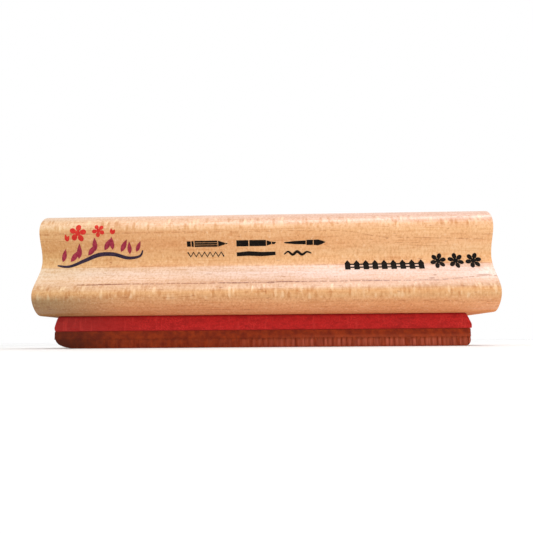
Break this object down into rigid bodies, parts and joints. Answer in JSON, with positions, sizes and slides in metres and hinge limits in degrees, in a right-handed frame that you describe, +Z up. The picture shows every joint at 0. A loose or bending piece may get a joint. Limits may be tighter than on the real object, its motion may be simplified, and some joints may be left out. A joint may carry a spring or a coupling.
{
  "type": "wood mounted rubber stamp",
  "caption": "Long wood-mounted craft stamp: moulded maple block with finger grooves, red foam cushion and a rubber die with a raised picket fence and flower image.",
  "frame": {"origin": "centre of the block's footprint on the plane of the die's printing face, where the stamp stands", "axes": "+X along the block's length, +Z up from the printing face to the block's top, the printed long side faces -Y"},
  "size_m": [0.1206, 0.0382, 0.0366],
  "materials": {
    "maple": "satin varnish",
    "adhesive_film": "matt",
    "red_foam": "matt, fine cells",
    "die_rubber": "matt, slightly waxy",
    "black_ink": "printed, satin",
    "navy_ink": "printed, satin",
    "plum_ink": "printed, satin",
    "red_ink": "printed, satin"
  },
  "bodies": {
    "block": {"wood_block": "maple", "block_adhesive": "adhesive_film", "foam_cushion": "red_foam", "index_print": "black_ink", "emblem_stem_print": "navy_ink", "emblem_leaf_print": "plum_ink", "emblem_blossom_print": "red_ink", "tip_print": "black_ink", "fence_print": "black_ink", "flower_row_print": "black_ink"},
    "die": {"rubber_die": "die_rubber", "die_adhesive": "adhesive_film"}
  },
  "joints": [
    {"name": "die_press", "type": "slide", "parent": "block", "child": "die", "axis": [0, 0, 1], "range_m": [0, 0.0012], "stiffness_N_per_m": 4000, "springref_m": -0.0003, "deforming": ["foam_cushion"]}
  ]
}
